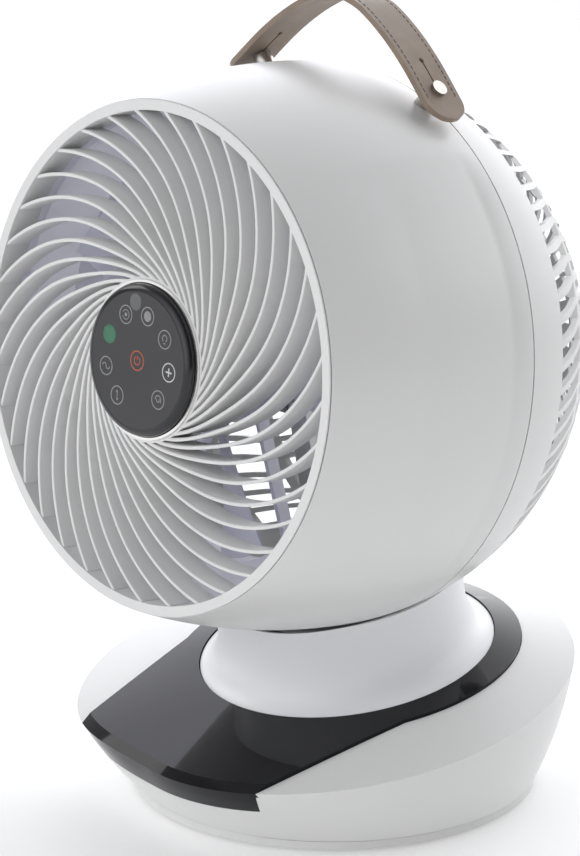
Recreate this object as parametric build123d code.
"""Desk air circulator fan: a ball-shaped head in the cup of a leaning neck, on a round sloped base.

World frame: millimetres, +Z up, front towards -Y, with its origin on the floor under the
middle of the whole body's box. The pieces are worked out about the foot's centre, which
lies foot_behind behind that origin, and are moved there last.
Three more frames share the ball's centre, and differ from the world by one turn about X:
  axial frame: +Z forward along the fan's axis, +Y up    (everything that tilts with the head)
  lean frame:  +Z up along the neck's leaning axis       (everything that pans with the neck)
"""
import os
from math import asin, atan2, cos, degrees, radians, sin, sqrt, tan

from build123d import *

os.makedirs("parts", exist_ok=True)

# ---------------------------------------------------------------- driving dimensions
# Ball and its place
ball_radius = 175.0          # rear of the head, a true sphere round the tilt axis
rest_tilt = 7.0              # nose up, as it stands
lean = 10.5                  # the neck's axis leans forward from the base to the ball
tilt_down = 7.0              # from rest down to level
tilt_up = 33.0               # from rest up
seat_height = 84.25          # middle of the base's opening for the neck, above the floor
seat_behind = 11.7           # and behind the middle of the foot
foot_behind = 6.83           # middle of the foot behind the origin

# Head shells
shell_wall = 2.6
rim_drop = 20.0              # the flat front ring's outer edge, inside the ball's radius
rim_forward = 124.0          # front ring's face in front of the tilt axis
ring_thick = 1.2
seam_forward = -26.5         # line between the front and the rear shell
seam_gap = 0.6
lip_wall = 2.0               # register lip that holds the rear shell
lip_length = 8.0
rest_gap = 0.3               # pieces that rest close to each other

# Front grille
ring_width = 6.4
grille_skirt = 2.2
grille_depth = 19.5          # the skirt's back edge behind the ring's face
vane_count = 36
vane_thick = 2.2
vane_recess = 1.1            # the vanes' front edges behind the ring's face
vane_depth = 16.4
vane_sweep = 86.0            # turn of one vane from hub to ring
vane_outer_angle = 133.0     # where one vane meets the ring
vane_sink = 0.5              # how far a vane runs into the ring and the hub
vane_swirl = 0.34            # share of the turn that a vane makes close to the hub
hub_rim = 1.6
hub_floor = 2.5
hub_raise = 5.2              # the hub dish in front of the vanes' ends at the ring
vane_crown = ((0.15, 0.4), (0.45, 1.5), (0.75, 3.5))   # share of the way to the hub, and rise there

# Remote control and its dock
remote_radius = 46.2
remote_thick = 18.6
remote_shoulder = 4.6        # rounded edge between the remote's face and its side
remote_wall = 1.8
remote_plate = 1.8
dock_gap = 0.5               # round the remote
trim_wall = 1.6
trim_height = 15.4
magnet_radius = 15.0
magnet_thick = 2.1
door_radius = 13.0           # battery door
window_radius = 5.2
window_turn = 8.8            # the infrared window's turn from the remote's top
window_share = 0.76          # how far out the infrared window sits, as a share of the radius
film_fit = 0.1               # gap round the face film, the window and the door
keeper_radius = 24.0
keeper_thick = 1.0
cell_radius = 10.0
cell_thick = 3.2
cradle_wall = 2.0

# Rear vents
vent_count = 72              # slots in a whole turn
vent_rings = ((69.8, 58.4), (56.5, 43.7), (42.4, 30.9), (29.8, 18.7))    # outer and inner angle from the rear
vent_slant = 5.0             # turn of a slot from its outer to its inner end
vent_clear = 62.0            # slots below the fan's axis stay this far from its middle
vent_share = 0.70            # slot width as a share of the pitch
vent_bend = 0.42             # share of the slant reached half way along a slot
vent_start = -40.0           # the slots are cut from here backwards

# Air duct, motor and impeller, measured forward from the tilt axis
duct_inset = 20.6            # the duct's bore inside the front ring's opening
duct_wall = 2.2
duct_throat = 78.0           # where the duct starts to widen to the ring
duct_step = 6.0              # the duct's flange behind the grille's skirt
motor_radius = 36.0
motor_back = 18.5
motor_length = 29.5
motor_chamfer = 4.0
cup_wall = 2.4
cup_plate = 3.0
cup_open = 12.0              # how much of the motor shows behind its cup
cup_hole = 6.0
arm_count = 7
arm_thick = 3.0
arm_depth = 9.0
shaft_radius = 4.0
shaft_seat = 14.0            # how far the shaft reaches into the motor
run_gap = 0.05               # radial running fit
fan_gap = 3.0                # between the motor's cup and the impeller
tip_gap = 3.0                # between the blades and the duct
impeller_depth = 34.0
impeller_hub = 42.0
impeller_boss = 10.0
hub_wall = 3.0
hub_round = 5.0
boss_inset = 6.0             # the inner boss ends this far inside the hub
blade_count = 5
blade_chords = (40.0, 62.0, 84.0)    # at the hub, half way and at the tip
blade_pitches = (48.0, 32.0, 21.0)
blade_thick = 2.8
blade_edge = 1.0
blade_camber = 4.0
nut_radius = 9.0
nut_height = 9.0
nut_taper = 2.0

# Tilt mechanism, about the ball's centre
pin_radius = 5.0
pin_half = 22.0
post_half = 8.0              # the post's half width across the fan
post_depth = 24.0            # the post from front to back
knuckle_radius = 12.5
side_gap = 0.5
ear_thick = 6.0
bracket_radius = 30.0
bracket_plate = 4.0
bracket_circle = 24.0
bracket_grip = 6.0           # how far the bracket's screws reach into the motor
gear_module = 1.0
tooth_foot = 1.1             # depth of a tooth below the pitch circle, in modules
tooth_tip = 0.8
tooth_widths = (0.30, 0.29, 0.10)    # half widths below the root, at it and at the tip, in pitches
sector_teeth = 60
pinion_teeth = 12
gear_face_width = 5.0
sector_margin = 14.0         # toothed arc kept past each end of the travel
gear_shaft = 2.5
shaft_bite = 4.0             # how far a pinion's shaft reaches into its motor
shaft_spare = 0.4
shaft_end = 2.0              # shaft past the tilt pinion
bushing_sleeve = 2.0
tilt_motor_radius = 14.0
tilt_motor_length = 19.0
slot_half = 10.5
slot_clear = 1.6             # degrees past the post at each end of the travel
cover_gap = 1.6              # between the slot's inner cover and the shells' lip
cover_wall = 2.0
cover_half = 26.0
cover_front = 42.0           # degrees in front of the post
cover_rear = 43.5            # degrees behind the post

# Neck, measured down the leaning axis from the ball's lowest point
cup_gap = 0.6                # between the ball and the cup
cup_bowl = 3.0
neck_wall = 3.0
neck_top = -19.0
neck_profile = ((84.6, -23.0), (81.0, -9.0), (79.5, 6.0), (81.2, 20.0), (86.5, 31.0), (94.8, 36.5))
neck_length = 39.0
post_clear = 1.0             # round the post, where it passes the cup
sweep_front = 93.5           # the cup is relieved for the head's front as far as this station
flange_inner = 70.0
turntable_thick = 3.0
turntable_radius = 90.0
table_screw_circle = 80.0
table_screw_count = 6
table_grip = 2.0
post_foot = 32.0
post_foot_thick = 6.0

# Pan mechanism
pan_teeth = 72
pan_gear_width = 7.0
spindle_radius = 16.0
spindle_bore = 12.0
spindle_length = 25.0
bushing_wall = 4.0
press_gap = 0.02             # round the spindle, where the gear, the table and the nut are pressed on
support_thick = 4.0
support_drop = 12.0          # support plate's top below the neck's bottom
support_radius = 99.0
support_rim = 3.4
bearing_inner = 62.0
bearing_outer = 72.0
pan_motor_radius = 22.0
pan_motor_height = 20.0
nut_wall = 3.5
nut_thick = 5.0
leg_radius = 5.0
leg_places = ((-50.0, 12.0), (50.0, 12.0), (0.0, -52.0))

# Base
foot_radius = 129.5
pad_height = 2.0
plate_thick = 3.0
plate_rim = 7.2
groove = 0.6
base_start = 130.5
crease_radii = (158.0, 163.5, 161.0, 155.5, 153.3, 154.3, 155.3)   # every 30 degrees, front to back
crease_height = 69.9
crease_slope = 8.0
base_bulge = 3.0
rim_overlap = 0.4            # the top's inner edge before the neck's hole is cut
base_wall = 2.6
panel_thick = 3.0
neck_hole = 95.4
neck_sunk = 1.7              # how far the neck's foot sits below the base's top
panel_ring = 111.5
panel_half = 80.0            # half width of the panel at its front
panel_front = 148.0
panel_lip = 16.5             # how far the panel laps down the front wall
panel_rise = 1.8             # the panel's face above the base's top
panel_bevel = 6.5            # width of the slanted band between the panel's face and its lip
bevel_rise = 1.5             # the base's own rise across that band
panel_gap = 0.35
lip_turn = 29.7              # the lip's ends, round from the front
pad_count = 5
pad_radius = 9.0
pad_circle = 112.0
screw_radius = 1.8
screw_head = 2.0
screw_grip = 12.0
screw_web = 1.2
boss_radius = 4.5
boss_circle = 116.0
screw_count = 4
lip_clear = 0.4              # between the bottom plate's lip and the wall round it
plate_rim_wall = 3.0
plate_lip_wall = 2.0
plate_lip_rise = 5.0
ballast_inner = 62.0
ballast_outer = 104.0
ballast_thick = 6.0
board_thick = 1.6
standoff = 4.0
standoff_radius = 2.5
standoff_inset = 4.0
board_half = 38.0
board_front = -34.0
board_rear = 30.0
board_blocks = ((-30.0, -6.0, -28.0, -8.0, 18.0), (4.0, 26.0, 4.0, 24.0, 9.0))   # x, x, y, y and height
board_cans = ((14.0, -18.0, 7.0, 22.0), (30.0, -18.0, 5.0, 14.0))                # x, y, radius and height
touch_reach = 124.0          # the touch board's middle in front of the leaning axis
touch_drop = 17.0            # and below the neck's seat
touch_half_width = 32.0
touch_half_depth = 20.0
touch_post = 2.2
inlet_height = 24.0
inlet_radius = 5.4
inlet_gap = 0.2
inlet_proud = 2.2            # the inlet's face behind the foot of the wall
inlet_length = 14.0
inlet_socket = 3.2
inlet_depth = 11.0
inlet_pin = 1.0
inlet_pin_short = 1.5        # the pin's end below the inlet's face
inlet_foot_half = 7.0
inlet_foot_back = 22.0

# Strap
strap_behind = 1.8           # the strap's front edge behind the ball's middle, along the head
strap_width = 30.0
strap_thick = 3.6
strap_line = ((0.0, 43.0), (5.35, 39.5), (11.2, 31.2), (17.8, 21.6), (23.3, 14.0), (27.3, 9.4),
              (31.5, 7.0))   # angle from the top, and height of the strap's middle over the ball
strap_corner = 14.5
strap_slot = 22.0            # how far the strap can slide on its stud
stud_angle = 24.8            # where the stud passes the strap, from the top
stud_rise = 12.2              # and how high over the ball
slit_width = 1.2             # cut in the strap that lets the stud slide
slit_hole = 1.7
stud_lean = 44.0
stud_radius = 2.6
stud_head = 5.0
stud_foot = 6.0
stud_cap = 2.2
stud_cap_gap = 0.4
stud_step = 1.6              # the stud's wide foot ends this far under the strap
stud_reach = 16.0
slot_play = 0.3              # between a stud's neck and its hole
slot_below = 9.0             # how far the slit's cutting solids reach under and over the strap
slot_above = 12.0

# Joining and cutting
sink = 1.0                   # how far solids that become one run into each other
spare = 60.0                 # how far a cutting solid reaches past what it cuts
far = 300.0                  # reach of the blocks that divide the whole part

# ---------------------------------------------------------------- derived values and frames
rim_radius = ball_radius - rim_drop
barrel_radius = (rim_forward ** 2 + rim_drop ** 2) / (2 * rim_drop)
ring_back = rim_forward - ring_thick
grille_inner = rim_radius - ring_width
grille_back = rim_forward - grille_depth
vane_front = rim_forward - vane_recess
vane_back = vane_front - vane_depth
trim_inner = remote_radius + dock_gap
hub_inner = trim_inner + trim_wall
hub_outer = hub_inner + hub_rim
hub_back = vane_back + hub_raise
hub_front = vane_front + hub_raise
dock_floor = hub_back + hub_floor
trim_front = dock_floor + trim_height
remote_back = dock_floor + magnet_thick
remote_front = remote_back + remote_thick
duct_inner = grille_inner - duct_inset
motor_front = motor_back + motor_length
cup_front = motor_front + cup_plate
duct_back = cup_front - arm_depth
impeller_back = cup_front + fan_gap
impeller_front = impeller_back + impeller_depth
impeller_radius = duct_inner - tip_gap
cover_radius = ball_radius - shell_wall - lip_wall - cover_gap
tilt_centres = gear_module * (sector_teeth + pinion_teeth) / 2
pan_centres = gear_module * (pan_teeth + pinion_teeth) / 2
post_angle = degrees(asin(post_depth / 2 / ball_radius))
slot_front = lean - post_angle - slot_clear
slot_rear = lean + tilt_down + tilt_up + post_angle + slot_clear
plate_top = pad_height + plate_thick
neck_bottom = ball_radius + neck_length
neck_seat = neck_bottom - neck_sunk
support_top = neck_bottom + support_drop

# The ball's centre lies up the leaning axis from the middle of the base's opening.
ball_height = seat_height + neck_seat * cos(radians(lean))
ball_offset = neck_seat * sin(radians(lean)) - seat_behind
centre = Pos(0, -ball_offset, ball_height)
head = centre * Rot(90 - rest_tilt, 0, 0)
neck = centre * Rot(lean, 0, 0)
level_head_in_neck = Rot(90 - lean, 0, 0)
across = Rot(0, 90, 0)       # turns a Z axis to X, and a gear's first tooth downwards


# ---------------------------------------------------------------- helpers
def section(*lines):
    """One closed face from lines and arcs that meet end to end."""
    return make_face([edge for line in lines for edge in line.edges()])


def turned(*points):
    """A solid of revolution about Z from (radius, height) corners."""
    return revolve(section(Polyline(*[(r, 0, z) for r, z in points], close=True)), Axis.Z)


def tube(outer, inner, low, high):
    """A plain ring about Z."""
    return turned((inner, low), (outer, low), (outer, high), (inner, high))


def disc(radius, low, high):
    """A plain round about Z."""
    return Pos(0, 0, low) * Cylinder(radius, high - low, align=(Align.CENTER, Align.CENTER, Align.MIN))


def block(x0, x1, y0, y1, z0, z1):
    """A box between two corners."""
    return Pos((x0 + x1) / 2, (y0 + y1) / 2, (z0 + z1) / 2) * Box(x1 - x0, y1 - y0, z1 - z0)


def skin_point(forward, inset=0.0):
    """A point of the head's outline: sphere behind the tilt axis, a slower arc in front of it."""
    bend = ball_radius if forward <= 0 else barrel_radius
    return (ball_radius - bend + sqrt(max((bend - inset) ** 2 - forward ** 2, 0)), 0, forward)


def skin_arcs(back, front, inset=0.0):
    """The head's outline between two stations, as arcs."""
    stations = [back, 0.0, front] if back < 0 < front else [back, front]
    return [ThreePointArc(skin_point(a, inset), skin_point((a + b) / 2, inset), skin_point(b, inset))
            for a, b in zip(stations, stations[1:])]


def skin_band(back, front, outer, inner):
    """A turned band of the head's skin, between two insets from its outline."""
    return revolve(section(*skin_arcs(back, front, outer), *skin_arcs(back, front, inner),
                           Line(skin_point(back, outer), skin_point(back, inner)),
                           Line(skin_point(front, outer), skin_point(front, inner))), Axis.Z)


def gear(teeth, width, bore, first=-180.0, last=180.0, phase=0.0):
    """A spur gear about Z with straight-sided teeth, toothed between two angles; a tooth at phase."""
    pitch_radius = gear_module * teeth / 2
    pitch = 360 / teeth
    root = pitch_radius - tooth_foot * gear_module
    tip = pitch_radius + tooth_tip * gear_module
    shape = Circle(root)
    flank = list(zip((root - gear_module / 2, root, tip), tooth_widths))
    corners = [(r, -share) for r, share in flank] + [(r, share) for r, share in reversed(flank)]
    tooth = [(r * cos(radians(share * pitch)), r * sin(radians(share * pitch))) for r, share in corners]
    for index in range(teeth):
        angle = phase + index * pitch
        turn = (angle + 180) % 360 - 180
        if first <= turn <= last:
            shape += Rot(0, 0, angle) * make_face(Polyline(*tooth, close=True))
    return extrude(shape - Circle(bore), width)


def wedge(inner, outer, half, front, rear):
    """A block across the fan, between two radii and two angles from straight down, rear counted positive."""
    def spot(radius, angle):
        return (0, radius * sin(radians(angle)), -radius * cos(radians(angle)))
    middle = (front + rear) / 2
    outline = section(ThreePointArc(spot(outer, front), spot(outer, middle), spot(outer, rear)),
                      Line(spot(outer, rear), spot(inner, rear)),
                      ThreePointArc(spot(inner, rear), spot(inner, middle), spot(inner, front)),
                      Line(spot(inner, front), spot(outer, front)))
    return extrude(outline, half, both=True, dir=(1, 0, 0))


def save(node, *solids):
    """Write one node; several solids stay separate."""
    placed = [Pos(0, foot_behind, 0) * solid for solid in solids]
    export_step(placed[0] if len(placed) == 1 else Compound(children=placed), f"parts/{node}.step")


# ---------------------------------------------------------------- head shells
# The post's slot runs through both shells, from a little in front of straight down to the rear.
post_slot = Rot(-90, 0, 0) * wedge(ball_radius - spare / 2, ball_radius + spare, slot_half,
                                   slot_front, slot_rear)

lip = skin_band(seam_forward - lip_length, seam_forward + lip_length, shell_wall, shell_wall + lip_wall)
front_shell = skin_band(seam_forward, ring_back - rest_gap, 0, shell_wall) + lip - post_slot

rear_start = seam_forward - seam_gap
rear_shell = revolve(section(*skin_arcs(-ball_radius, rear_start, 0),
                             *skin_arcs(-(ball_radius - shell_wall), rear_start, shell_wall),
                             Line((0, 0, -ball_radius), (0, 0, shell_wall - ball_radius)),
                             Line(skin_point(rear_start), skin_point(rear_start, shell_wall))), Axis.Z)


def vent_slot(outer, inner):
    """One slanted slot, seen along the fan's axis and cut straight backwards from its start."""
    half = 180 / vent_count * vent_share
    corners = []
    middle = (outer + inner) / 2
    for radius, turn, side in ((outer, 0, -1), (middle, vent_bend, -1), (inner, 1, -1),
                               (inner, 1, 1), (middle, vent_bend, 1), (outer, 0, 1)):
        angle = radians(turn * vent_slant * outer / ball_radius + side * half)
        corners.append((radius * cos(angle), radius * sin(angle)))
    return extrude(make_face(Polyline(*corners, close=True)), -ball_radius)


vents = []
for outer_angle, inner_angle in vent_rings:
    outer, inner = ball_radius * sin(radians(outer_angle)), ball_radius * sin(radians(inner_angle))
    count = vent_count if outer_angle > 30 else vent_count // 2
    slot = vent_slot(outer, inner)
    for index in range(count):
        angle = (index + 0.5) * 360 / count
        aside = min(outer * abs(cos(radians(angle))), inner * abs(cos(radians(angle + vent_slant))))
        if sin(radians(angle)) > 0 or aside > vent_clear:
            vents.append(Pos(0, 0, vent_start) * Rot(0, 0, angle) * slot)
rear_shell = rear_shell - vents - post_slot

# ---------------------------------------------------------------- front grille
def vane_centre(share):
    """A vane's centre line: share 0 at the ring and 1 at the hub, most of its bend close to the hub."""
    radius = grille_inner + vane_sink + share * (hub_inner - grille_inner)
    angle = radians(vane_outer_angle - vane_sweep * ((1 - vane_swirl) * share + vane_swirl * share ** 8))
    return radius * cos(angle), radius * sin(angle)


def vane_side(side):
    """Points along one face of a vane."""
    points = []
    for share in (0.0, 0.2, 0.4, 0.6, 0.75, 0.85, 0.93, 1.0):
        x, y = vane_centre(share)
        x1, y1 = vane_centre(share + 0.001)
        shift = side * vane_thick / 2 / sqrt((x1 - x) ** 2 + (y1 - y) ** 2)
        points.append((x - (y1 - y) * shift, y + (x1 - x) * shift))
    return points


left, right = vane_side(1), vane_side(-1)
vane_face = section(Spline(*left), Line(left[-1], right[-1]), Spline(*right), Line(right[0], left[0]))
vane_way = grille_inner - hub_inner
vane = Pos(0, 0, vane_back) * extrude(vane_face, hub_front - vane_back)
vane &= turned((0, vane_back), (rim_radius, vane_back), (rim_radius, vane_front), (grille_inner, vane_front),
               *[(grille_inner - share * vane_way, vane_front + rise) for share, rise in vane_crown],
               (hub_inner, hub_front), (0, hub_front))
front_ring = turned((grille_inner, grille_back), (grille_inner + grille_skirt, grille_back),
                    (grille_inner + grille_skirt, ring_back), (rim_radius, ring_back),
                    (rim_radius, rim_forward), (grille_inner, rim_forward))
hub_dish = turned((0, hub_back), (hub_outer, hub_back), (hub_outer, hub_front), (hub_inner, hub_front),
                  (hub_inner, dock_floor), (0, dock_floor))
front_grille = front_ring + hub_dish + [Rot(0, 0, i * 360 / vane_count) * vane for i in range(vane_count)]
front_grille -= disc(hub_inner, dock_floor, hub_front + sink)

# ---------------------------------------------------------------- remote control and dock
dock_trim = tube(hub_inner, trim_inner, dock_floor, trim_front)
dock_magnet = disc(magnet_radius, dock_floor, remote_back)
face_radius = remote_radius - remote_shoulder
case_inner = remote_radius - remote_wall
face_back = remote_front - remote_plate
window_place = Rot(0, 0, window_turn) * Pos(0, window_share * remote_radius, 0)
remote_floor = remote_back + remote_wall
shoulder_low = remote_front - remote_shoulder
shoulder_middle = remote_shoulder * (1 - cos(radians(45)))
case_outline = section(Polyline((0, 0, remote_back), (remote_radius, 0, remote_back),
                                (remote_radius, 0, shoulder_low)),
                       ThreePointArc((remote_radius, 0, shoulder_low),
                                     (remote_radius - shoulder_middle, 0, remote_front - shoulder_middle),
                                     (face_radius, 0, remote_front)),
                       Polyline((face_radius, 0, remote_front), (0, 0, remote_front), (0, 0, remote_back)))
remote_case = revolve(case_outline, Axis.Z) - disc(face_radius, face_back, remote_front)
remote_case -= disc(case_inner, remote_floor, shoulder_low)
remote_case -= disc(face_radius - remote_wall, shoulder_low, face_back)
remote_case -= disc(door_radius, remote_back, remote_floor)
remote_face = disc(face_radius - film_fit, face_back, remote_front - film_fit)
remote_face -= window_place * disc(window_radius, face_back, remote_front)
remote_window = window_place * disc(window_radius - film_fit / 2, face_back, remote_front - film_fit / 2)
battery_door = disc(door_radius - film_fit, remote_back, remote_floor)
remote_keeper = tube(keeper_radius, door_radius + sink, remote_floor, remote_floor + keeper_thick)
battery = disc(cell_radius, remote_floor, remote_floor + cell_thick)
board_back = shoulder_low - board_thick
remote_board = disc(case_inner - rest_gap, board_back, shoulder_low)
battery_cradle = tube(cell_radius + cradle_wall, cell_radius + run_gap, remote_floor, board_back)

# ---------------------------------------------------------------- duct, motor and impeller
duct_skin = duct_inner + duct_wall
mouth_back = grille_back - duct_step
mouth_skin = grille_inner + duct_wall
flange_front = mouth_back + duct_wall
flange_outer = skin_point(grille_back, shell_wall)[0] - rest_gap
air_duct = turned((duct_inner, duct_back), (duct_skin, duct_back), (duct_skin, duct_throat),
                  (mouth_skin, mouth_back), (flange_outer, mouth_back), (flange_outer, flange_front),
                  (mouth_skin, flange_front), (mouth_skin, grille_back), (grille_inner, grille_back),
                  (grille_inner, mouth_back), (duct_inner, duct_throat))
cup_outer = motor_radius + cup_wall
cup_back = motor_back + cup_open
motor_cup = turned((cup_hole, motor_front), (motor_radius, motor_front), (motor_radius, cup_back),
                   (cup_outer, cup_back), (cup_outer, cup_front), (cup_hole, cup_front))
arm = block(cup_outer - sink, duct_inner + sink, -arm_thick / 2, arm_thick / 2, duct_back, cup_front)
air_duct = air_duct + motor_cup + [Rot(0, 0, 90 + i * 360 / arm_count) * arm for i in range(arm_count)]
shaft_back = motor_front - shaft_seat
motor = turned((0, motor_back), (motor_radius - motor_chamfer, motor_back),
               (motor_radius, motor_back + motor_chamfer),
               (motor_radius, motor_front), (shaft_radius + run_gap, motor_front),
               (shaft_radius + run_gap, shaft_back - rest_gap), (0, shaft_back - rest_gap))
motor_shaft = disc(shaft_radius, shaft_back, impeller_front + nut_height)
hub_inside = impeller_hub - hub_wall
hub_under = impeller_front - hub_wall
boss_back = impeller_back + boss_inset
impeller_body = turned((shaft_radius, boss_back), (impeller_boss, boss_back), (impeller_boss, hub_under),
                       (hub_inside - hub_round, hub_under), (hub_inside, hub_under - hub_round),
                       (hub_inside, impeller_back), (impeller_hub, impeller_back),
                       (impeller_hub, impeller_front - hub_round), (impeller_hub - hub_round, impeller_front),
                       (shaft_radius, impeller_front))


def blade_section(radius, chord, pitch):
    """A thin cambered lens across the blade, set at its pitch, square to the blade's length."""
    middle = (impeller_back + impeller_front) / 2
    place = Plane(origin=(radius, 0, middle), x_dir=(0, 1, 0), z_dir=(1, 0, 0))
    half, edge = chord / 2, blade_edge / 2
    lens = section(ThreePointArc((-half, edge), (0, blade_camber + blade_thick / 2), (half, edge)),
                   Line((half, edge), (half, -edge)),
                   ThreePointArc((half, -edge), (0, blade_camber - blade_thick / 2), (-half, -edge)),
                   Line((-half, -edge), (-half, edge)))
    return place * Rot(0, 0, pitch) * lens


blade_root = hub_inside + sink
blade_reach = impeller_radius + 6 * sink - blade_root
blade = loft([blade_section(blade_root + share * blade_reach, chord, pitch)
              for share, chord, pitch in zip((0, 0.5, 1), blade_chords, blade_pitches)])
blade &= tube(impeller_radius, hub_inside + sink / 2, impeller_back - 2 * sink, impeller_front + 2 * sink)
impeller = impeller_body + [Rot(0, 0, i * 360 / blade_count) * blade for i in range(blade_count)]
nut_front = impeller_front + nut_height
impeller_nut = turned((shaft_radius, impeller_front), (nut_radius, impeller_front),
                      (nut_radius - nut_taper, nut_front), (shaft_radius, nut_front))

# ---------------------------------------------------------------- tilt mechanism
ear = across * Cylinder(knuckle_radius, ear_thick)
ear += block(-ear_thick / 2, ear_thick / 2, -knuckle_radius, knuckle_radius, 0, motor_back - bracket_plate)
ear_place = post_half + side_gap + ear_thick / 2
pin_hole = across * Cylinder(pin_radius, 2 * ball_radius)
tilt_bracket = disc(bracket_radius, motor_back - bracket_plate, motor_back)
tilt_bracket += [Pos(side * ear_place, 0, 0) * ear for side in (-1, 1)]
tilt_bracket -= pin_hole
tilt_pin = across * Cylinder(pin_radius, 2 * pin_half)

gear_side = post_half + side_gap + ear_thick
sector_first = -tilt_down - sector_margin
sector_last = tilt_up + sector_margin
sector_corners = [(0, 0)] + [(spare * cos(radians(a)), spare * sin(radians(a)))
                             for a in (sector_first, (sector_first + sector_last) / 2, sector_last)]
sector_blank = extrude(make_face(Polyline(*sector_corners, close=True)), gear_face_width)
sector_hub = disc(knuckle_radius, 0, gear_face_width) - disc(pin_radius, 0, gear_face_width)
sector_gear = gear(sector_teeth, gear_face_width, pin_radius, sector_first, sector_last) & sector_blank
sector_gear = Pos(gear_side, 0, 0) * across * (sector_gear + sector_hub)

pinion_phase = 180 / pinion_teeth + 180
tilt_pinion = gear(pinion_teeth, gear_face_width, gear_shaft / 2, phase=pinion_phase)
tilt_pinion += disc(gear_shaft, -(gear_side + post_half + shaft_bite), gear_face_width + shaft_end)
tilt_pinion = Pos(gear_side, 0, -tilt_centres) * across * tilt_pinion
shaft_hole_half = post_half + shaft_bite + shaft_spare
tilt_shaft_hole = Pos(0, 0, -tilt_centres) * across * Cylinder(gear_shaft + run_gap, 2 * shaft_hole_half)

tilt_post = across * Cylinder(knuckle_radius, 2 * post_half)
tilt_post += block(-post_half, post_half, -post_depth / 2, post_depth / 2, -neck_bottom, 0)
tilt_post += disc(post_foot, -neck_bottom, -neck_bottom + post_foot_thick)
bushing_outer = pin_radius + bushing_sleeve
tilt_post -= across * Cylinder(bushing_outer, 4 * post_half)
tilt_post -= tilt_shaft_hole
pin_bushing = across * Cylinder(bushing_outer, 2 * post_half)
pin_bushing -= across * Cylinder(pin_radius + run_gap, 4 * post_half)
tilt_motor = Pos(-post_half - tilt_motor_length / 2, 0, -tilt_centres) * across * Cylinder(
    tilt_motor_radius, tilt_motor_length) - tilt_shaft_hole
cover_inner = cover_radius - cover_wall
slot_cover = Sphere(cover_radius) - Sphere(cover_inner)
slot_cover &= wedge(cover_inner - spare, cover_radius + spare, cover_half, -cover_front, cover_rear)
slot_cover -= block(-post_half, post_half, -post_depth / 2, post_depth / 2, -ball_radius, 0)

bracket_screws = []
for index in range(4):
    spot = Rot(0, 0, 45 + 90 * index) * Pos(bracket_circle, 0, 0)
    bracket_back = motor_back - bracket_plate
    bracket_screws.append(spot * (disc(screw_radius, bracket_back, motor_back + bracket_grip)
                                  + disc(2 * screw_radius, bracket_back - screw_head, bracket_back)))
    tilt_bracket -= spot * disc(screw_radius, bracket_back, motor_back)
    motor -= spot * disc(screw_radius, motor_back, motor_back + bracket_grip)

# ---------------------------------------------------------------- neck
def neck_outline(inset):
    """The neck's flared side as a curve down the leaning axis."""
    return [(radius - inset, 0, -ball_radius - down) for radius, down in neck_profile]


outline = neck_outline(0)
neck_body = revolve(section(Spline(*outline), Line(outline[-1], (outline[-1][0], 0, -neck_bottom)),
                            Line((outline[-1][0], 0, -neck_bottom), (0, 0, -neck_bottom)),
                            Line((0, 0, -neck_bottom), (0, 0, outline[0][2])),
                            Line((0, 0, outline[0][2]), outline[0])), Axis.Z)
inside = neck_outline(neck_wall)
neck_cavity = revolve(section(Spline(*inside[:-1]), Line(inside[-2], (flange_inner, 0, inside[-2][2])),
                              Line((flange_inner, 0, inside[-2][2]), (flange_inner, 0, -neck_bottom)),
                              Line((flange_inner, 0, -neck_bottom), (0, 0, -neck_bottom)),
                              Line((0, 0, -neck_bottom), (0, 0, inside[0][2])),
                              Line((0, 0, inside[0][2]), inside[0])), Axis.Z)
cup_radius = ball_radius + cup_gap
neck_cavity -= Sphere(cup_radius + cup_bowl)
head_sweep = level_head_in_neck * skin_band(0, sweep_front, -cup_gap - rest_gap, spare)
neck_shell = neck_body - Sphere(cup_radius) - neck_cavity
neck_shell -= disc(ball_radius, -ball_radius - neck_top, 0)
neck_shell -= head_sweep
post_room_x = post_half + post_clear
post_room_y = post_depth / 2 + post_clear
neck_shell -= block(-post_room_x, post_room_x, -post_room_y, post_room_y, -neck_bottom, 0)

# ---------------------------------------------------------------- pan mechanism
table_low = neck_bottom + turntable_thick
pressed_on = spindle_radius + press_gap
turntable = tube(turntable_radius, pressed_on, -table_low, -neck_bottom)
neck_screws = []
for index in range(table_screw_count):
    spot = Rot(0, 0, (index + 0.5) * 360 / table_screw_count) * Pos(0, table_screw_circle, 0)
    neck_screws.append(spot * (disc(screw_radius, -table_low, -neck_bottom + table_grip)
                               + disc(2 * screw_radius, -table_low - screw_head, -table_low)))
    turntable -= spot * disc(screw_radius, -table_low, -neck_bottom)
    neck_shell -= spot * disc(screw_radius, -neck_bottom, -neck_bottom + table_grip)
pan_gear = Pos(0, 0, -table_low - pan_gear_width) * gear(pan_teeth, pan_gear_width, pressed_on, phase=90)
spindle_low = neck_bottom + spindle_length
pan_spindle = tube(spindle_radius, spindle_bore, -spindle_low, -neck_bottom)
bushing_pan = spindle_radius + bushing_wall
support_low = support_top + support_thick
pan_bushing = tube(bushing_pan, spindle_radius + run_gap, -support_low, -support_top)
nut_top = -support_low - rest_gap
spindle_nut = tube(spindle_radius + nut_wall, pressed_on, nut_top - nut_thick, nut_top)
pan_bearing = tube(bearing_outer, bearing_inner, -support_top, -table_low - rest_gap)
pinion_place = Pos(0, pan_centres, 0)
pinion_top = -table_low - sink
pan_pinion = Pos(0, 0, pinion_top - gear_face_width) * gear(pinion_teeth, gear_face_width, gear_shaft / 2,
                                                            phase=90 + 180 / pinion_teeth)
pan_pinion += disc(gear_shaft, -support_low - shaft_bite, pinion_top)
pan_pinion = pinion_place * pan_pinion
shaft_hole_low = -support_low - shaft_bite - shaft_spare
pan_shaft_hole = pinion_place * disc(gear_shaft + run_gap, shaft_hole_low, -support_top)
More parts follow.
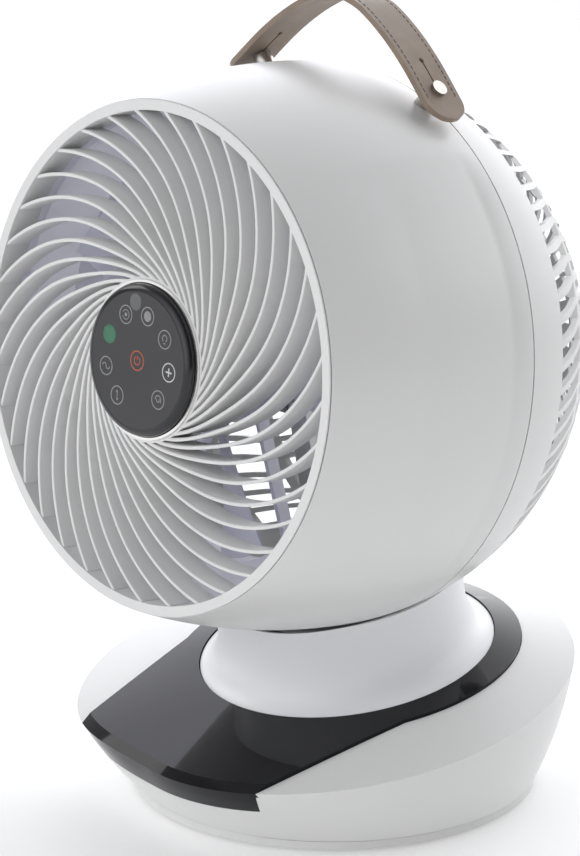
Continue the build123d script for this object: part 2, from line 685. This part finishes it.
pan_motor = pinion_place * disc(pan_motor_radius, -support_low - pan_motor_height, -support_low)
pan_motor -= pan_shaft_hole

# ---------------------------------------------------------------- base
slope_rise = tan(radians(crease_slope))
turns = [30 * i for i in range(12)]
crease_table = list(crease_radii) + list(reversed(crease_radii[1:-1]))


def ring_wire(radii, height, slope):
    """A closed smooth outline round the base from radii every 30 degrees, lying in a sloped plane."""
    points = []
    for turn, radius in zip(turns, radii):
        x, y = radius * sin(radians(turn)), -radius * cos(radians(turn))
        points.append((x, y, height + slope * y))
    return Face(Wire(Spline(*points, periodic=True).edges()))


def neck_ring(drop):
    """The top's inner edge round the neck, lowered by drop."""
    seat = neck * Pos(0, 0, -neck_seat - drop)
    reach = neck_hole - rim_overlap
    rim = [(seat * Rot(0, 0, turn) * Pos(0, -reach, 0)).position for turn in turns]
    return Face(Wire(Spline(*rim, periodic=True).edges()))


def base_body(inset, drop):
    """The base's whole outer form, drawn in by inset at its wall and lowered by drop on top."""
    low = plate_rim + groove
    mid_share = 0.5          # the wall's fullest ring is half way up
    start = [base_start - inset] * 12
    crease = [radius - inset for radius in crease_table]
    middle = [a + (b - a) * mid_share + base_bulge for a, b in zip(start, crease)]
    top = crease_height - drop
    crease_face = ring_wire(crease, top, slope_rise)
    middle_face = ring_wire(middle, low + (top - low) * mid_share, slope_rise * mid_share)
    wall = loft([ring_wire(start, low, 0), middle_face, crease_face])
    return wall + loft([crease_face, neck_ring(drop)], ruled=True)


def panel_crown():
    """What the panel stands proud of the base's top: a slanted band inside the crease, then its face."""
    crease_face = ring_wire(crease_table, crease_height, slope_rise)
    edge = [radius - panel_bevel for radius in crease_table]
    edge_face = ring_wire(edge, crease_height + panel_rise + bevel_rise, slope_rise)
    return loft([crease_face, edge_face], ruled=True) + loft([edge_face, neck_ring(-panel_rise)], ruled=True)


def teardrop(grow):
    """The panel's outline from above, a ring round the neck drawn out to a wide front, as a tall block."""
    middle_y = (neck * Pos(0, 0, -neck_seat)).position.Y
    radius = panel_ring + grow
    reach = middle_y + panel_front
    half = panel_half + grow
    swing = degrees(atan2(half, reach) + asin(radius / sqrt(half ** 2 + reach ** 2)))
    touch = (radius * sin(radians(swing)), middle_y - radius * cos(radians(swing)))
    out = 2 * panel_front
    edge_x = half - (out - panel_front) * (touch[0] - half) / (panel_front + touch[1])
    outline_lines = [Line((edge_x, -out), touch), Line((-edge_x, -out), (-touch[0], touch[1])),
                     ThreePointArc(touch, (0, middle_y + radius), (-touch[0], touch[1])),
                     Line((-edge_x, -out), (edge_x, -out))]
    return extrude(section(*outline_lines), 2 * crease_height)


outer_body = base_body(0, 0)
skin_body = base_body(panel_thick, panel_thick)
inner_body = base_body(panel_thick + base_wall, panel_thick + base_wall)
neck_well = neck * disc(neck_hole, -neck_seat - spare, -neck_seat + spare)
lip_edge = crease_height - panel_lip
slope_plane = Pos(0, 0, lip_edge) * Rot(crease_slope, 0, 0)
above_lip = slope_plane * block(-far, far, -far, far, 0, far)
above_gap = slope_plane * block(-far, far, -far, far, -panel_gap, far)



def beside_lip(gap):
    """Where the shell's wall takes over beside the lip's two ends, under the panel's plate."""
    under = Pos(0, 0, crease_height - panel_thick) * Rot(crease_slope, 0, 0)
    return [Rot(0, 0, side * lip_turn) * block(*sorted((side * gap, side * far)), -far, far, -far, 2 * far)
            & under * block(-far, far, -far, far, -far, -gap) for side in (-1, 1)]


control_panel = ((outer_body + panel_crown() - skin_body) & teardrop(0) & above_lip) - neck_well
control_panel -= beside_lip(0)
recess = ((outer_body - skin_body) & teardrop(panel_gap) & above_gap) - beside_lip(panel_gap)
base_shell = outer_body - inner_body - neck_well - recess
boss_spots = [Rot(0, 0, (i + 0.5) * 360 / screw_count) * Pos(0, boss_circle, 0) for i in range(screw_count)]
shell_foot = plate_rim + groove
bosses = []
screws = []
for spot in boss_spots:
    boss = spot * disc(boss_radius, plate_top, 2 * crease_height) & inner_body
    boss += spot * disc(boss_radius, plate_top, shell_foot + sink)
    bosses.append(boss - spot * disc(screw_radius, 0, plate_top + screw_grip))
    screws.append(spot * (disc(screw_radius, plate_top - screw_web, plate_top + screw_grip)
                          + disc(2 * screw_radius, pad_height, plate_top - screw_web)))
base_shell = base_shell + bosses

plate_lip = base_start - panel_thick - base_wall - lip_clear
inlet_y = base_start + inlet_proud
inlet_place = Pos(0, inlet_y, inlet_height) * Rot(-90, 0, 0)
base_shell -= inlet_place * disc(inlet_radius + inlet_gap, -spare / 2, spare)
inlet_foot = block(-inlet_foot_half, inlet_foot_half,
                   inlet_y - inlet_foot_back, plate_lip - plate_lip_wall - rest_gap,
                   plate_top, inlet_height - inlet_socket + sink)
dc_inlet = inlet_place * disc(inlet_radius, -inlet_length, 0) + inlet_foot
dc_inlet -= inlet_place * disc(inlet_socket, -inlet_depth, 0)
dc_inlet += inlet_place * disc(inlet_pin, -inlet_depth - sink, -inlet_pin_short)

bottom_plate = disc(foot_radius, pad_height, plate_top)
bottom_plate += tube(foot_radius, foot_radius - plate_rim_wall, plate_top, plate_rim)
bottom_plate += tube(plate_lip, plate_lip - plate_lip_wall, plate_top, plate_rim + plate_lip_rise)
for spot in boss_spots:
    bottom_plate -= spot * disc(screw_radius, 0, plate_top)
    bottom_plate -= spot * disc(2 * screw_radius, 0, plate_top - screw_web)
rubber_feet = [Rot(0, 0, i * 360 / pad_count) * Pos(0, -pad_circle, 0) * disc(pad_radius, 0, pad_height)
               for i in range(pad_count)]
ballast_plate = tube(ballast_outer, ballast_inner, plate_top, plate_top + ballast_thick)

support_plate = neck * tube(support_radius, bushing_pan, -support_low, -support_top)
support_plate -= neck * pan_shaft_hole
support_wall = neck * tube(support_radius, support_radius - support_rim, -support_low, -neck_seat + spare)
support_wall &= inner_body
legs = []
for x, y in leg_places:
    under_plate = ball_height - support_low / cos(radians(lean)) + (y + ball_offset) * tan(radians(lean))
    legs.append(Pos(x, y, 0) * disc(leg_radius, plate_top, under_plate + sink))
pan_support = support_plate + support_wall + legs

board_low = plate_top + standoff
board_top = board_low + board_thick
power_board = block(-board_half, board_half, board_front, board_rear, board_low, board_top)
power_board += [Pos(x, y, 0) * disc(standoff_radius, plate_top, board_low)
                for x in (standoff_inset - board_half, board_half - standoff_inset)
                for y in (board_front + standoff_inset, board_rear - standoff_inset)]
power_board += [block(x0, x1, y0, y1, board_top, board_top + high) for x0, x1, y0, y1, high in board_blocks]
power_board += [Pos(x, y, 0) * disc(radius, board_top, board_top + high) for x, y, radius, high in board_cans]
touch_place = neck * Pos(0, -touch_reach, -neck_seat - touch_drop)
touch_board = touch_place * block(-touch_half_width, touch_half_width, -touch_half_depth, touch_half_depth,
                                  0, board_thick)
touch_board += [(touch_place * Pos(x, y, 0) * disc(touch_post, 0, spare)) & inner_body
                for x in (standoff_inset - touch_half_width, touch_half_width - standoff_inset)
                for y in (standoff_inset - touch_half_depth, touch_half_depth - standoff_inset)]

# ---------------------------------------------------------------- strap and studs
strap_place = centre * Rot(-rest_tilt, 0, 0)
strap_middle = strap_behind + strap_width / 2


def over_ball(angle, rise):
    """A place across and up from the ball's middle, from its angle off the top and its height."""
    reach = ball_radius + rise
    return reach * sin(radians(angle)), reach * cos(radians(angle))


strap_half_path = [over_ball(angle, rise) for angle, rise in strap_line]
strap_path = [(-x, z) for x, z in reversed(strap_half_path[1:])] + strap_half_path


def strap_offset(shift):
    """The strap's line moved square to itself."""
    points = []
    for index, (x, z) in enumerate(strap_path):
        x0, z0 = strap_path[max(index - 1, 0)]
        x1, z1 = strap_path[min(index + 1, len(strap_path) - 1)]
        length = sqrt((x1 - x0) ** 2 + (z1 - z0) ** 2)
        points.append((x - (z1 - z0) / length * shift, strap_behind, z + (x1 - x0) / length * shift))
    return points


over, under = strap_offset(strap_thick / 2), strap_offset(-strap_thick / 2)
strap = extrude(section(Spline(*over), Line(over[-1], under[-1]), Spline(*under), Line(under[0], over[0])),
                strap_width, dir=(0, 1, 0))
strap_half = strap_path[-1][0] + strap_thick / 2
strap_plan = RectangleRounded(2 * strap_half, strap_width, strap_corner)
strap &= Pos(0, strap_middle, 0) * extrude(strap_plan, 2 * ball_radius)


def stud_frame(side):
    """Where a stud passes the strap's middle, +Z square to the strap and outwards."""
    across_to, up_to = over_ball(stud_angle, stud_rise)
    return Pos(side * across_to, strap_middle, up_to) * Rot(0, side * stud_lean, 0)


stud_room = stud_radius + slot_play
for side in (-1, 1):
    near, away = sorted((0, -side * strap_slot))
    slit = block(near, away, -slit_width / 2, slit_width / 2, -slot_below, slot_above)
    slit += disc(stud_room, -slot_below, slot_above)
    slit += Pos(-side * strap_slot, 0, 0) * disc(slit_hole, -slot_below, slot_above)
    strap -= stud_frame(side) * slit
cap_low = strap_thick / 2 + stud_cap_gap
ball_solid = revolve(section(*skin_arcs(-spare, spare), Line(skin_point(-spare), (0, 0, -spare)),
                             Line((0, 0, -spare), (0, 0, spare)),
                             Line((0, 0, spare), skin_point(spare))), Axis.Z)
strap_studs = []
for side in (-1, 1):
    stud = disc(stud_radius, -stud_reach, cap_low + stud_cap)
    stud += disc(stud_foot, -stud_reach, -strap_thick / 2 - stud_step)
    stud += disc(stud_head, cap_low, cap_low + stud_cap)
    strap_studs.append(strap_place * stud_frame(side) * stud - head * ball_solid)
strap = strap_place * strap

# ---------------------------------------------------------------- write every node
for node, shape in {
        "front_shell": front_shell, "rear_shell": rear_shell, "front_grille": front_grille,
        "dock_trim": dock_trim, "dock_magnet": dock_magnet, "air_duct": air_duct, "fan_motor": motor,
        "tilt_bracket": tilt_bracket, "tilt_pin": tilt_pin,
        "remote_case": remote_case, "remote_face": remote_face, "remote_window": remote_window,
        "remote_battery_door": battery_door, "remote_keeper": remote_keeper, "remote_battery": battery,
        "remote_board": remote_board, "remote_battery_cradle": battery_cradle,
        "motor_shaft": motor_shaft, "impeller": impeller, "impeller_nut": impeller_nut}.items():
    save(node, head * shape)
for node, shape in {
        "tilt_sector_gear": sector_gear, "tilt_pinion": tilt_pinion, "tilt_post": tilt_post,
        "pin_bushing": pin_bushing, "tilt_motor": tilt_motor, "slot_cover": slot_cover,
        "neck_shell": neck_shell, "turntable": turntable, "pan_gear": pan_gear,
        "pan_spindle": pan_spindle, "pan_bushing": pan_bushing,
        "spindle_nut": spindle_nut, "pan_bearing": pan_bearing, "pan_pinion": pan_pinion,
        "pan_motor": pan_motor}.items():
    save(node, neck * shape)
for node, shape in {
        "base_shell": base_shell, "control_panel": control_panel, "bottom_plate": bottom_plate,
        "ballast_plate": ballast_plate, "pan_support": pan_support, "power_board": power_board,
        "touch_board": touch_board, "dc_inlet": dc_inlet, "strap": strap}.items():
    save(node, shape)
save("base_screws", *screws)
save("rubber_feet", *rubber_feet)
save("strap_studs", *strap_studs)
save("bracket_screws", *[head * screw for screw in bracket_screws])
save("neck_screws", *[neck * screw for screw in neck_screws])
